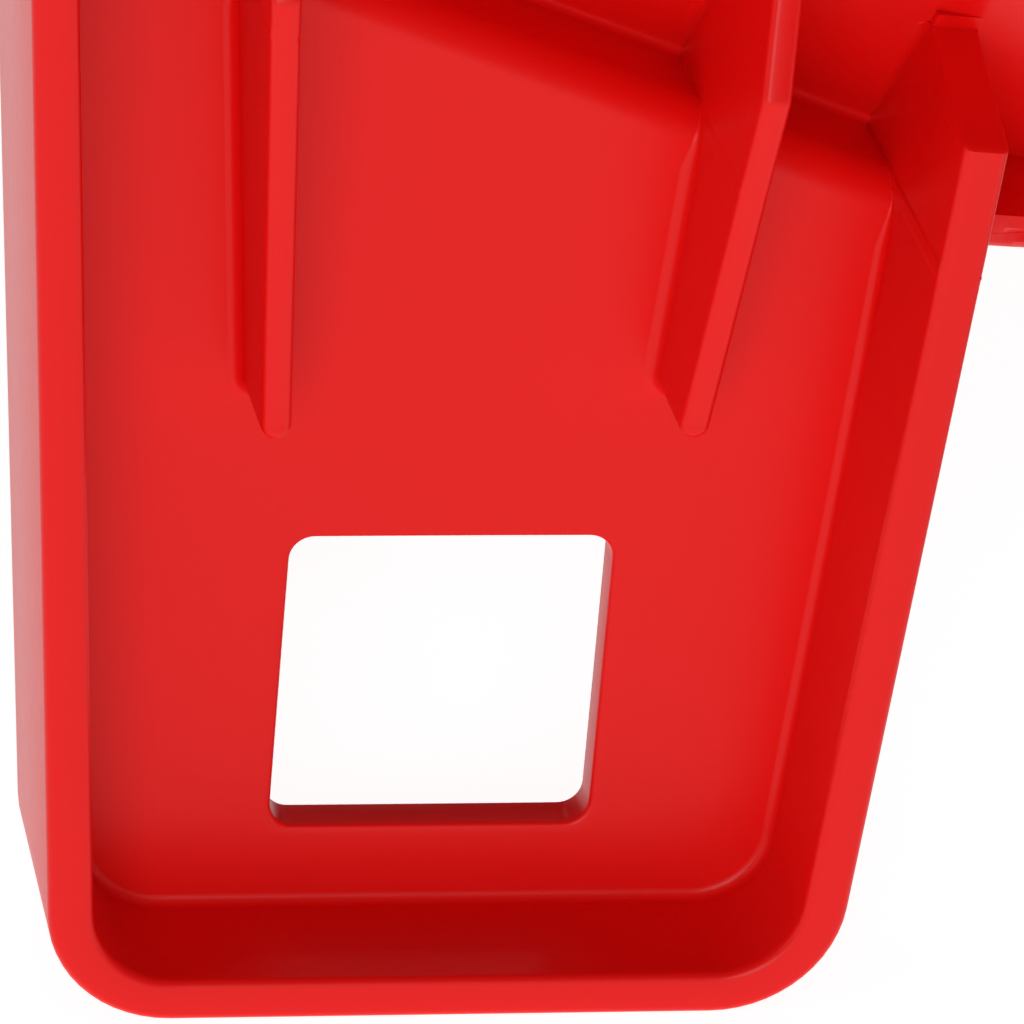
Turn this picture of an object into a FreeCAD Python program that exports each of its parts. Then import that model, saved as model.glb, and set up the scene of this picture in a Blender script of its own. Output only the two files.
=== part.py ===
import os
import FreeCAD
import Part
import Sketcher

# Wheel clamp that closes over a tyre: a rear jaw with a crossbar and two wheel bars,
# and a front jaw that slides along the crossbar and is held by a push-in lock bolt.
# Millimetres, +Z up, the front jaw towards -Y, the feet on Z = 0.

SIZES = {
    # legs of both jaws
    "leg_axis": 66, "foot_half": 36.3, "leg_taper": 0.078, "foot_corner": 12,
    "rim_wall": 4.2, "plate_wall": 4.3, "rear_lip": 6.2, "rim_front": 14, "rim_rise": 0.04,
    "window_side": 30, "window_corner": 2.3, "window_height": 27.6,
    "rib_spread": 14.5, "rib_wall": 2.8, "rib_low": 58, "rib_high": 145,
    "rib_front": 10.5, "rib_rise": 0.2, "rib_peak": 18, "rib_peak_run": 5.5, "rib_end_run": 26.45,
    # shoulder that steps outwards over the tyre, and the head above it
    "bend_height": 96.2, "lean": 20.5, "slope": 39, "shoulder_rise": 30, "shoulder_radius": 12,
    "step_run": -3.2, "step_back": 13, "step_radius": 3.5, "step_lip": 11, "ridge_radius": 5,
    "rim_peak": 18, "rim_peak_run": 9.1, "rim_end_run": 13,
    "ledge_height": 71.5, "ledge_share": 0.56,
    "ledge": "=ledge_share * (leg_axis - foot_half - leg_taper * ledge_height)",
    "ledge_root": 1, "ledge_corner": 3, "crotch_share": 0.623,
    "crotch_radius": "=crotch_share * (leg_axis - foot_half - leg_taper * ledge_height - ledge)",
    "knee_height": 122, "knee_radius": 24, "head_half": 40, "head_top": 297, "head_corner": 14,
    # boss around the crossbar
    "boss_wall": 10, "boss_roof": 16, "boss_front": 10, "boss_rear": 38,
    "boss_half": "=crossbar_side / 2 + boss_wall", "boss_low": "=crossbar_side / 2 + boss_wall",
    "boss_top": "=crossbar_height + crossbar_side / 2 + boss_roof",
    # crossbar and its fits
    "half_gap": 145, "crossbar_side": 28, "crossbar_wall": 3, "crossbar_height": 268,
    "crossbar_overhang": 14, "hole_pitch": 16, "hole_steps": 9, "bolt_hole": 11,
    "bush_wall": 2.9, "bush_fit": 0.1, "bush_length": 12, "bush_flange": 2, "bush_flange_width": 4,
    "stop_pin": 5, "stop_pin_reach": 4, "stop_gap": 0.5,
    "cap_depth": 5, "cap_head": 3, "cap_fit": 0.1, "cap_corner": 2,
    # wheel bars
    "bar_side": 25, "bar_corner": 2, "bar_tip_gap": 62,
    "sleeve_wall": 1.5, "sleeve_corner": 3.5, "sleeve_short": 3, "sleeve_clear": 4,
    "flange_width": 54, "flange_tall": 40, "flange_wall": 5, "flange_corner": 6,
    "flange_bolt": 6, "flange_bolt_across": 10, "flange_bolt_head": 4, "flange_nut": 5, "flange_bolt_end": 7,
    "flange_bolt_x": 21.5, "flange_bolt_z": 12, "hole_fit": 0.2,
    # pads bonded to the tyre side of the legs
    "pad_width": 56, "pad_tall": 29, "pad_wall": 8, "pad_low": 46.5, "pad_corner": 5,
    # lock
    "housing_wide": 46, "housing_deep": 40, "housing_tall": 44, "housing_corner": 6,
    "barrel_bore": 22, "barrel_fit": 0.05, "barrel_tall": 22, "barrel_sunk": 1, "push_travel": 12,
    "lock_bolt": 10, "lock_bolt_gap": 1, "lock_bolt_socket": 6, "plug_width": 12, "plug_tall": 12,
    "keyway_wide": 1.6, "keyway_tall": 7, "keyway_deep": 9, "seal_wire": 1.6,
    "spring_wire": 1.5, "spring_width": 16, "spring_turns": 4.5, "spring_fit": 0.3,
    "housing_screw": 5, "screw_reach": 12, "housing_screw_x": 17.5, "housing_screw_y": 14.5,
    "travel_pin": 3, "travel_slot_deep": 2.5,
    "cover_wall": 4, "cover_gap": 0.3, "hinge_barrel": 7, "hinge_pin": 3, "hinge_out": 4.5,
    "knuckle_half": 7.7, "ear_start": 8, "ear_end": 15, "hinge_fit": 0.05,
    # head bolts of the rear jaw
    "head_bolt": 8, "head_bolt_clear": 9.5, "head_bolt_pitch": 15, "head_bolt_across": 13,
    "head_bolt_head": 5.3, "head_nut": 6.5, "head_bolt_end": 12,
}

doc = FreeCAD.newDocument("WheelClamp")
sheet = doc.addObject("Spreadsheet::Sheet", "Sizes")
for row, (alias, size) in enumerate(SIZES.items(), start=1):
    sheet.set("A%d" % row, alias)
    sheet.set("B%d" % row, str(size))
    sheet.setAlias("B%d" % row, alias)
doc.recompute()

NODES = []
FAR = 400.0
X = FreeCAD.Vector(1, 0, 0)
Y = FreeCAD.Vector(0, 1, 0)
Z = FreeCAD.Vector(0, 0, 1)


def bind(expression):
    """Turn the plain size names in an expression into references to the sheet."""
    words = []
    word = ""
    for letter in expression + " ":
        if letter.isalnum() or letter == "_":
            word += letter
            continue
        words.append("Sizes." + word if word in SIZES else word)
        words.append(letter)
        word = ""
    return "".join(words).strip()


def number(expression):
    """The present value of an expression on the sheet."""
    return float(sheet.evalExpression(bind(str(expression))))


def keep(thing, name):
    """Label an object as one of the part's pieces."""
    thing.Label = name
    NODES.append(thing)
    return thing


def place(thing, spot, axis=None, angle=0):
    """Bind an object's position, and turn it about an axis if one is given."""
    if axis is not None:
        thing.Placement = FreeCAD.Placement(FreeCAD.Vector(), FreeCAD.Rotation(axis, number(angle)))
        thing.setExpression("Placement.Rotation.Angle", bind("(%s) * 1 deg" % angle))
    for letter, expression in zip("xyz", spot):
        thing.setExpression("Placement.Base." + letter, bind(str(expression)))
    return thing


def box(x_low, x_high, y_low, y_high, z_low, z_high):
    """A box between bound limits."""
    block = doc.addObject("Part::Box", "Box")
    for side, low, high in (("Length", x_low, x_high), ("Width", y_low, y_high), ("Height", z_low, z_high)):
        block.setExpression(side, bind("(%s) - (%s)" % (high, low)))
    return place(block, (x_low, y_low, z_low))


def square_bar(x_mid, z_mid, side, y_low, y_high):
    """A square bar along Y about a centre line."""
    half = "(%s) / 2" % side
    return box("(%s) - %s" % (x_mid, half), "(%s) + %s" % (x_mid, half), y_low, y_high,
               "(%s) - %s" % (z_mid, half), "(%s) + %s" % (z_mid, half))


def cylinder(width, length, spot, along=Z):
    """A cylinder of a bound diameter and length that starts at a spot and runs along an axis."""
    rod = doc.addObject("Part::Cylinder", "Cylinder")
    rod.setExpression("Radius", bind("(%s) / 2" % width))
    rod.setExpression("Height", bind(str(length)))
    turns = {tuple(X): (Y, 90), tuple(Y): (X, -90), tuple(-Z): (X, 180)}
    axis, angle = turns.get(tuple(along), (None, 0))
    return place(rod, spot, axis, angle)


def hexagon(across, length, spot, along=Z):
    """A hexagonal prism along Z or Y, across its flats."""
    prism = doc.addObject("Part::Prism", "Hexagon")
    prism.Polygon = 6
    prism.setExpression("Circumradius", bind("(%s) / 2 / cos(30 * 1 deg)" % across))
    prism.setExpression("Height", bind(str(length)))
    axis, angle = (X, -90) if along == Y else (None, 0)
    return place(prism, spot, axis, angle)


def fuse(*things):
    """One solid from several."""
    joined = doc.addObject("Part::MultiFuse", "Fuse")
    joined.Shapes = list(things)
    joined.Refine = True
    return joined


def group(*things):
    """Separate solids kept in one piece, such as a set of screws."""
    joined = doc.addObject("Part::Compound", "Group")
    joined.Links = list(things)
    return joined


def cut(base, *tools):
    """A solid less some tools."""
    for tool in tools:
        less = doc.addObject("Part::Cut", "Cut")
        less.Base = base
        less.Tool = tool
        less.Refine = True
        base = less
    return base


def common(first, second):
    """What two solids share."""
    shared = doc.addObject("Part::Common", "Common")
    shared.Base = first
    shared.Tool = second
    shared.Refine = True
    return shared


def mirror(thing, normal):
    """A copy mirrored in the plane through the origin."""
    copy = doc.addObject("Part::Mirroring", "Mirror")
    copy.Source = thing
    copy.Normal = normal
    return copy


def outline(sketch, corners):
    """A closed polygon whose corners are bound to the sheet."""
    points = [FreeCAD.Vector(number(a), number(b), 0) for a, b in corners]
    count = len(points)
    for index in range(count):
        sketch.addGeometry(Part.LineSegment(points[index], points[(index + 1) % count]), False)
    for index in range(count):
        sketch.addConstraint(Sketcher.Constraint("Coincident", index, 2, (index + 1) % count, 1))
    for index, (across, up) in enumerate(corners):
        for kind, expression in (("DistanceX", across), ("DistanceY", up)):
            value = number(expression)
            spot = sketch.addConstraint(Sketcher.Constraint(kind, -1, 1, index, 1, value))
            sketch.setExpression("Constraints[%d]" % spot, bind(expression))


def round_edges(thing, along, corners):
    """Round the edges that run along an axis nearest to the given points, each by its radius."""
    doc.recompute()
    picks = []
    for spot, radius in corners:
        target = FreeCAD.Vector(*[number(value) for value in spot])
        best = None
        for index, edge in enumerate(thing.Shape.Edges, start=1):
            run = edge.Vertexes[-1].Point - edge.Vertexes[0].Point
            if run.Length < 1e-6 or run.cross(along).Length > 1e-6 * run.Length:
                continue
            away = edge.CenterOfMass - target
            away -= along * away.dot(along)
            if best is None or away.Length < best[0]:
                best = (away.Length, index)
        picks.append((best[1], number(radius), number(radius)))
    rounded = doc.addObject("Part::Fillet", "Rounded")
    rounded.Base = thing
    rounded.Edges = picks
    return rounded


def prism(corners, plane, length):
    """A body padded both ways from one polygon on one of its origin planes."""
    body = doc.addObject("PartDesign::Body", "Body")
    sketch = body.newObject("Sketcher::SketchObject", "Profile")
    sketch.AttachmentSupport = [(item, "") for item in body.Origin.OriginFeatures if item.Role == plane]
    sketch.MapMode = "FlatFace"
    outline(sketch, corners)
    pad = body.newObject("PartDesign::Pad", "Pad")
    pad.Profile = sketch
    pad.setExpression("Length", bind(str(length)))
    pad.Midplane = True
    body.Tip = pad
    return body


# ---- the jaw casting: legs, shoulder and head ------------------------------------------------

TIP_X = "-(leg_axis - foot_half - leg_taper * ledge_height)"
LEDGE_X = "%s + ledge" % TIP_X
CROTCH_Z = "ledge_height - 1 + (-(%s)) / tan(lean * 1 deg)" % LEDGE_X
LEFT_EDGE = [
    ("-(leg_axis + foot_half)", "0"),
    ("-(leg_axis - foot_half)", "0"),
    (TIP_X, "ledge_height"),
    (LEDGE_X, "ledge_height - 1"),
    ("0", CROTCH_Z),
]
OUTER_EDGE = [
    ("head_half", "head_top"),
    ("leg_axis + foot_half + leg_taper * knee_height", "knee_height"),
]


def jaw_outline():
    """Corners of the A-shaped outline, once round."""
    flip = [("-(%s)" % across, up) for across, up in LEFT_EDGE[3::-1]]
    other = [("-(%s)" % across, up) for across, up in OUTER_EDGE]
    return LEFT_EDGE + flip + OUTER_EDGE[::-1] + other


def corner_rounds(inset):
    """Each outline corner with its radius, less the wall on an inner outline."""
    radii = ["foot_corner", "foot_corner", "ledge_root", "ledge_corner", "crotch_radius"]
    sign = {0: -1, 1: -1, 2: 1, 3: -1, 4: 1}
    rounds = []
    for index, (across, up) in enumerate(LEFT_EDGE):
        grown = "%s + (%d) * (%s)" % (radii[index], sign[index], inset)
        radius = "max(%s; 0.4)" % grown
        rounds.append(((across, "0", up), radius))
        if index < 4:
            rounds.append((("-(%s)" % across, "0", up), radius))
    for (across, up), radius in zip(OUTER_EDGE, ("head_corner", "knee_radius")):
        for side in ("", "-"):
            rounds.append((("%s(%s)" % (side, across), "0", up), "%s - (%s)" % (radius, inset)))
    return rounds


def fold_line(depth):
    """Corners of the folded sheet's surface at a depth behind its front, from the head down."""
    valley = "step_back + (%s) * (tan(slope * 1 deg) + 1 / cos(slope * 1 deg))" % depth
    run = "(step_back + shoulder_rise + (%s) * (1 / cos(slope * 1 deg) - 1)) / tan(slope * 1 deg)" % depth
    return [
        ("(%s) - shoulder_rise" % depth, "%g" % FAR),
        ("(%s) - shoulder_rise" % depth, "step_run + %s" % run),
        (valley, "step_run - (%s)" % depth),
        (depth, "step_run - (%s)" % depth),
        (depth, "-%g" % FAR),
    ]


def lip_line():
    """Corners of the wall's rear edge: it follows the sheet but stays shallow behind the step."""
    depth = "plate_wall + rear_lip"
    sheet_line = fold_line(depth)
    run = "(step_back + (%s) / cos(slope * 1 deg) - step_back - step_lip) / tan(slope * 1 deg)" % depth
    low = "step_run - plate_wall - rear_lip / 2"
    return sheet_line[:2] + [
        ("step_back + step_lip", "step_run + %s" % run),
        ("step_back + step_lip", low),
        (depth, low),
        (depth, "-%g" % FAR),
    ]


def on_slope(run):
    """Depth of the sloping face at a distance up the slope."""
    return "step_back - ((%s) - step_run) * tan(slope * 1 deg)" % run


def folded(front, rear, rounds):
    """Both arms' share of a folded prism between two profiles, mirrored at the middle."""
    body = prism(front + rear[::-1], "YZ_Plane", 4 * FAR)
    place(body, ("-leg_axis", "0", "bend_height"), Y, "lean")
    half = common(body, box(-FAR, 0, -FAR, FAR, -FAR, FAR))
    doc.recompute()
    tilt = FreeCAD.Rotation(Y, number("lean"))
    along = tilt.multVec(X)
    base = FreeCAD.Vector(number("-leg_axis"), 0, number("bend_height"))
    spots = []
    for (depth, run), radius in rounds:
        spot = base + tilt.multVec(FreeCAD.Vector(0, number(depth), number(run)))
        spots.append((tuple(spot), radius))
    if spots:
        half = round_edges(half, along, spots)
    return fuse(half, mirror(half, X))


def rib(side, leg):
    """Plan outline of one stiffening rib, beside the axis of one leg."""
    low = "leg_axis * %d + (%d) * (rib_spread + leg_taper * rib_low)" % (leg, side)
    high = "leg_axis * %d + (%d) * (rib_spread + leg_taper * rib_high)" % (leg, side)
    half = "rib_wall / 2"
    corners = [("%s - %s" % (low, half), "rib_low"), ("%s + %s" % (low, half), "rib_low"),
               ("%s + %s" % (high, half), "rib_high"), ("%s - %s" % (high, half), "rib_high")]
    plan = prism(corners, "XZ_Plane", 4 * FAR)
    ends = [((across, "0", up), "rib_wall * 0.45") for across, up in corners[:2]]
    return round_edges(plan, Y, ends)


def front_limit(height, rise, start):
    """Space behind a front face that leans forwards as it goes up."""
    corners = [("-(%s)" % height, start),
               ("-(%s) - (%s) * %g" % (height, rise, FAR), "(%s) + %g" % (start, FAR)),
               ("%g" % FAR, "%g" % FAR), ("%g" % FAR, "-%g" % FAR),
               ("-(%s) + (%s) * %g" % (height, rise, FAR), "(%s) - %g" % (start, FAR))]
    return prism(corners, "YZ_Plane", 4 * FAR)


def inner_edge(leg, up, inset="0"):
    """Where the edge of a leg that faces the other leg lies at a height, or its wall's far side."""
    return "%d * (leg_axis - foot_half - leg_taper * (%s) + (%s))" % (leg, up, inset)


def leg_strip(leg):
    """The wall of a leg's inner edge, carried straight on over the slope above the ledge."""
    low, high = "ledge_height - 4", "bend_height + 40"
    corners = [(inner_edge(leg, low), low), (inner_edge(leg, high), high),
               (inner_edge(leg, high, "rim_wall"), high), (inner_edge(leg, low, "rim_wall"), low)]
    return prism(corners, "XZ_Plane", 2 * FAR)


def leg_gap():
    """The space between the two inner edges, in front of the sheet's rear face."""
    high = "bend_height + 160"
    low = "ledge_height - 8"
    corners = [(inner_edge(-1, low), low), (inner_edge(1, low), low), (inner_edge(1, high), high),
               (inner_edge(-1, high), high)]
    gap = prism(corners, "XZ_Plane", 4 * FAR)
    slab = folded([("-%g" % FAR, "%g" % FAR), ("-%g" % FAR, "-%g" % FAR)], fold_line("plate_wall / 2"), [])
    return common(gap, slab)


def jaw_shell():
    """Plate, perimeter wall, ribs and boss, with the front face of the legs' plate on Y = 0."""
    sketch = doc.addObject("Sketcher::SketchObject", "JawOutline")
    sketch.Placement = FreeCAD.Placement(FreeCAD.Vector(), FreeCAD.Rotation(X, 90))
    outline(sketch, jaw_outline())
    inner = doc.addObject("Part::Offset2D", "InnerOutline")
    inner.Source = sketch
    inner.setExpression("Value", bind("-rim_wall"))
    inner.Join = 2
    blocks = []
    for source, inset in ((sketch, "0"), (inner, "rim_wall")):
        block = doc.addObject("Part::Extrusion", "Block")
        block.Base = source
        block.Dir = Y
        block.DirMode = "Custom"
        block.LengthFwd = FAR
        block.Symmetric = True
        block.Solid = True
        blocks.append(round_edges(block, Y, corner_rounds(inset)))
    outer_block, inner_block = blocks
    surface = fold_line("0")
    back = fold_line("plate_wall")
    lip = lip_line()
    middle = fold_line("plate_wall / 2")
    end = on_slope("rim_end_run")
    fall = "(rim_end_run - rim_peak_run) / (rim_peak + %s)" % end
    rim = surface[:2] + [
        (end, "rim_end_run"),
        ("-rim_peak", "rim_peak_run"),
        ("-rim_peak - (%g)" % FAR, "rim_peak_run - (%g) * %s" % (FAR, fall)),
    ]
    crest = surface[:2] + [
        (on_slope("rib_end_run"), "rib_end_run"),
        ("-rib_peak", "rib_peak_run"),
        ("-rib_peak - (%g)" % FAR, "rib_peak_run - (%g) * 3" % FAR),
    ]
    plate = folded(surface, back, [
        (surface[1], "shoulder_radius"), (surface[3], "step_radius"),
        (back[1], "shoulder_radius - plate_wall"), (back[2], "ridge_radius")])
    wall_space = folded(rim, lip, [
        (lip[1], "shoulder_radius - plate_wall - rear_lip + 4"), (lip[2], "ridge_radius")])
    strip_space = folded(rim, middle, [])
    rib_space = folded(crest, middle, [])
    plate = common(plate, outer_block)
    front_limits = front_limit("rim_front", "rim_rise", "0")
    wall = common(common(cut(outer_block, inner_block), wall_space), front_limits)
    wall = cut(wall, leg_gap())
    strips = common(common(fuse(*[leg_strip(leg) for leg in (-1, 1)]), strip_space), front_limits)
    ribs = fuse(*[rib(side, leg) for leg in (-1, 1) for side in (-1, 1)])
    ribs = common(common(ribs, rib_space), front_limit("rib_front", "rib_rise", "rib_low"))
    boss = box("-boss_half", "boss_half", "-shoulder_rise - boss_front", "boss_rear - shoulder_rise",
               "crossbar_height - boss_low", "boss_top")
    return fuse(plate, wall, strips, ribs, boss)


def window(leg):
    """The square window in one leg."""
    block = square_bar("leg_axis * %d" % leg, "window_height", "window_side", -FAR, FAR)
    half = number("window_side / 2")
    corners = []
    for across in (-half, half):
        for up in (-half, half):
            spot = (number("leg_axis") * leg + across, "0", number("window_height") + up)
            corners.append((spot, "window_corner"))
    return round_edges(block, Y, corners)


FRONT_FACE = "-(half_gap + plate_wall)"
REAR_FACE = "half_gap + plate_wall"
BAR_LOW = "crossbar_height - crossbar_side / 2"
BAR_TOP = "crossbar_height + crossbar_side / 2"
LOCK_Y = "%s - shoulder_rise - boss_front + housing_deep / 2 + 2" % FRONT_FACE
HOUSING_TOP = "boss_top + housing_tall"
BARREL_TOP = "%s - barrel_sunk" % HOUSING_TOP
BARREL_LOW = "%s - barrel_tall" % BARREL_TOP
BOSS_FRONT = "%s - shoulder_rise - boss_front" % FRONT_FACE
BOSS_REAR = "%s - shoulder_rise + boss_rear" % FRONT_FACE
HINGE_Y = "%s + housing_deep / 2 + hinge_out" % LOCK_Y
HINGE_Z = "%s + cover_gap + cover_wall / 2 - 1" % HOUSING_TOP


def moved(thing, spot):
    """A copy moved by bound distances."""
    shifted = doc.addObject("Part::Compound", "Moved")
    shifted.Links = [thing]
    place(shifted, spot)
    return shifted


def castings(shell):
    """The front and rear castings, machined for what they hold."""
    tools = [window(-1), window(1)]
    blank = cut(shell, *tools)
    front = moved(blank, ("0", FRONT_FACE, "0"))
    bore = square_bar("0", "crossbar_height", "crossbar_side + 2 * bush_fit + 2 * bush_wall", -FAR, FAR)
    bolt_way = cylinder("bolt_hole", "boss_top - crossbar_height", ("0", LOCK_Y, "crossbar_height"))
    screws = [cylinder("housing_screw + 2 * hole_fit", "screw_reach + 2",
                       (x, y, "boss_top - screw_reach - 1"))
              for x, y in screw_spots()]
    keep(cut(front, bore, bolt_way, *screws), "front_casting")
    rear = mirror(moved(blank, ("0", FRONT_FACE, "0")), Y)
    seat = square_bar("0", "crossbar_height", "crossbar_side", -FAR, FAR)
    bolts = [cylinder("head_bolt + 2 * hole_fit", "2 * %g" % FAR, ("0", y, -FAR)) for y in head_bolt_spots()]
    flange_holes = [cylinder("flange_bolt + 2 * hole_fit", "20", (x, "half_gap - 5", z), Y)
                    for x, z in flange_bolt_spots()]
    keep(cut(rear, seat, *bolts, *flange_holes), "rear_casting")


def screw_spots():
    """Where the lock housing's screws stand."""
    return [("%d * housing_screw_x" % x, "%s + (%d) * housing_screw_y" % (LOCK_Y, y))
            for x in (-1, 1) for y in (-1, 1)]


def head_bolt_spots():
    """Where the two bolts hold the crossbar in the rear head."""
    first = "%s + shoulder_rise - plate_wall - head_bolt_clear" % REAR_FACE
    return [first, "%s - head_bolt_pitch" % first]


def flange_bolt_spots():
    """Where the wheel bars' flanges are bolted to the rear casting."""
    return [("%d * leg_axis + (%d) * flange_bolt_x" % (leg, x), "window_height + (%d) * flange_bolt_z" % z)
            for leg in (-1, 1) for x in (-1, 1) for z in (-1, 1)]


# ---- crossbar --------------------------------------------------------------------------------

BAR_END = "half_gap + plate_wall + shoulder_rise + boss_front + crossbar_overhang"
STOP_Y = "%s - bush_flange - stop_gap - stop_pin / 2" % BOSS_FRONT


def crossbar():
    """Square tube with the lock holes, the stop pin and the end caps."""
    tube = square_bar("0", "crossbar_height", "crossbar_side", "-(%s)" % BAR_END, BAR_END)
    inside = square_bar("0", "crossbar_height", "crossbar_side - 2 * crossbar_wall", -FAR, FAR)
    holes = [cylinder("bolt_hole", "crossbar_side", ("0", "%s + %d * hole_pitch" % (LOCK_Y, step),
                                                      "crossbar_height"))
             for step in range(int(number("hole_steps")) + 1)]
    bolts = [cylinder("head_bolt + 2 * hole_fit", "3 * crossbar_side",
                      ("0", y, "%s - crossbar_side" % BAR_LOW))
             for y in head_bolt_spots()]
    pin_way = cylinder("stop_pin", "2 * crossbar_side", ("-crossbar_side", STOP_Y, "crossbar_height"), X)
    tube = cut(tube, inside, fuse(*holes), *bolts, pin_way)
    keep(tube, "crossbar")
    pin = cylinder("stop_pin", "crossbar_side + 2 * stop_pin_reach",
                   ("-crossbar_side / 2 - stop_pin_reach", STOP_Y, "crossbar_height"), X)
    keep(pin, "crossbar_stop_pin")
    for end, name in ((-1, "crossbar_front_cap"), (1, "crossbar_rear_cap")):
        head = [("%d * (%s)" % (end, BAR_END)), ("%d * (%s + cap_head)" % (end, BAR_END))][::end]
        plug = [("%d * (%s - cap_depth)" % (end, BAR_END)), ("%d * (%s)" % (end, BAR_END))][::end]
        rim = square_bar("0", "crossbar_height", "crossbar_side", head[0], head[1])
        half = number("crossbar_side / 2")
        spots = [((x * half, "0", number("crossbar_height") + z * half), "cap_corner")
                 for x in (-1, 1) for z in (-1, 1)]
        tongue = square_bar("0", "crossbar_height", "crossbar_side - 2 * crossbar_wall - 2 * cap_fit",
                            plug[0], plug[1])
        keep(fuse(round_edges(rim, Y, spots), tongue), name)


def hex_bolt(width, shank, spot, head_tall, across):
    """Hexagon bolt that hangs down from the underside of its head."""
    x, y, z = spot
    return fuse(cylinder(width, "(%s) + 1" % shank, (x, y, "(%s) - (%s)" % (z, shank))),
                hexagon(across, head_tall, (x, y, z)))


def head_bolts():
    """The two bolts and nuts that hold the crossbar in the rear head."""
    low = "crossbar_height - boss_low"
    bolts = [hex_bolt("head_bolt", "boss_top - (%s) + head_bolt_end" % low, ("0", y, "boss_top"),
                      "head_bolt_head", "head_bolt_across")
             for y in head_bolt_spots()]
    keep(group(*bolts), "crossbar_bolts")
    nuts = []
    for y in head_bolt_spots():
        nut = hexagon("head_bolt_across", "head_nut", ("0", y, "%s - head_nut" % low))
        nuts.append(cut(nut, cylinder("head_bolt", "3 * head_nut", ("0", y, "%s - 2 * head_nut" % low))))
    keep(group(*nuts), "crossbar_nuts")


# ---- wheel bars ------------------------------------------------------------------------------

TIP_Y = "-half_gap + bar_tip_gap"


def wheel_bars():
    """Square bars that pass through the wheel, each welded to a flange on the rear casting."""
    for leg, side in ((-1, "left"), (1, "right")):
        across = "%d * leg_axis" % leg
        bar = square_bar(across, "window_height", "bar_side", TIP_Y, REAR_FACE)
        half = number("bar_side / 2")
        spots = [((number(across) + x * half, "0", number("window_height") + z * half), "bar_corner")
                 for x in (-1, 1) for z in (-1, 1)]
        bar = round_edges(bar, Y, spots)
        plate = box("%s - flange_width / 2" % across, "%s + flange_width / 2" % across,
                    REAR_FACE, "%s + flange_wall" % REAR_FACE,
                    "window_height - flange_tall / 2", "window_height + flange_tall / 2")
        corners = [((number("%s + (%d) * flange_width / 2" % (across, x)), "0",
                     number("window_height + (%d) * flange_tall / 2" % z)), "flange_corner")
                   for x in (-1, 1) for z in (-1, 1)]
        plate = round_edges(plate, Y, corners)
        holes = [cylinder("flange_bolt + 2 * hole_fit", "30", (x, "%s - 5" % REAR_FACE, z), Y)
                 for x, z in flange_bolt_spots()[(leg + 1) * 2:(leg + 1) * 2 + 4]]
        keep(cut(fuse(bar, plate), *holes), side + "_wheel_bar")
        outer = square_bar(across, "window_height", "bar_side + 2 * sleeve_wall",
                           "%s + sleeve_short" % TIP_Y, "half_gap - sleeve_clear")
        spots = [((number(across) + x * number("bar_side / 2 + sleeve_wall"), "0",
                   number("window_height") + z * number("bar_side / 2 + sleeve_wall")), "sleeve_corner")
                 for x in (-1, 1) for z in (-1, 1)]
        keep(cut(round_edges(outer, Y, spots), bar), side + "_bar_sleeve")


def flange_bolts():
    """Bolts through the flanges and their nuts on the tyre side of the plate."""
    bolts = []
    nuts = []
    head = "%s + flange_wall" % REAR_FACE
    for x, z in flange_bolt_spots():
        shank = cylinder("flange_bolt", "flange_wall + plate_wall + flange_bolt_end",
                         (x, "half_gap - flange_bolt_end", z), Y)
        bolts.append(fuse(shank, hexagon("flange_bolt_across", "flange_bolt_head", (x, head, z), Y)))
        nut = hexagon("flange_bolt_across", "flange_nut", (x, "half_gap - flange_nut", z), Y)
        nuts.append(cut(nut, cylinder("flange_bolt", "3 * flange_nut",
                                      (x, "half_gap - 2 * flange_nut", z), Y)))
    keep(group(*bolts), "bar_flange_bolts")
    keep(group(*nuts), "bar_flange_nuts")


def pads():
    """Rubber pads bonded to the tyre side of the legs, above the windows."""
    for jaw, low, high in (("front", "-half_gap", "-half_gap + pad_wall"),
                           ("rear", "half_gap - pad_wall", "half_gap")):
        for leg, side in ((-1, "left"), (1, "right")):
            across = "%d * leg_axis" % leg
            block = box("%s - pad_width / 2" % across, "%s + pad_width / 2" % across, low, high,
                        "pad_low", "pad_low + pad_tall")
            corners = [((number("%s + (%d) * pad_width / 2" % (across, x)), "0",
                         number("pad_low + %d * pad_tall" % z)), "pad_corner")
                       for x in (-1, 1) for z in (0, 1)]
            keep(round_edges(block, Y, corners), "%s_%s_pad" % (jaw, side))


# ---- fittings of the front head --------------------------------------------------------------

def bushes():
    """Plastic liners that the crossbar slides in, one from each end of the boss."""
    for name, end, way in (("bar_bush_front", BOSS_FRONT, 1), ("bar_bush_rear", BOSS_REAR, -1)):
        span = ["%s" % end, "%s + (%d) * bush_length" % (end, way)][::way]
        lip = ["%s - (%d) * bush_flange" % (end, way), "%s" % end][::way]
        outside = "crossbar_side + 2 * bush_fit + 2 * bush_wall"
        sleeve = square_bar("0", "crossbar_height", outside, span[0], span[1])
        flange = square_bar("0", "crossbar_height", outside + " + 2 * bush_flange_width", lip[0], lip[1])
        way_through = square_bar("0", "crossbar_height", "crossbar_side + 2 * bush_fit", -FAR, FAR)
        keep(cut(fuse(sleeve, flange), way_through), name)


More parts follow.
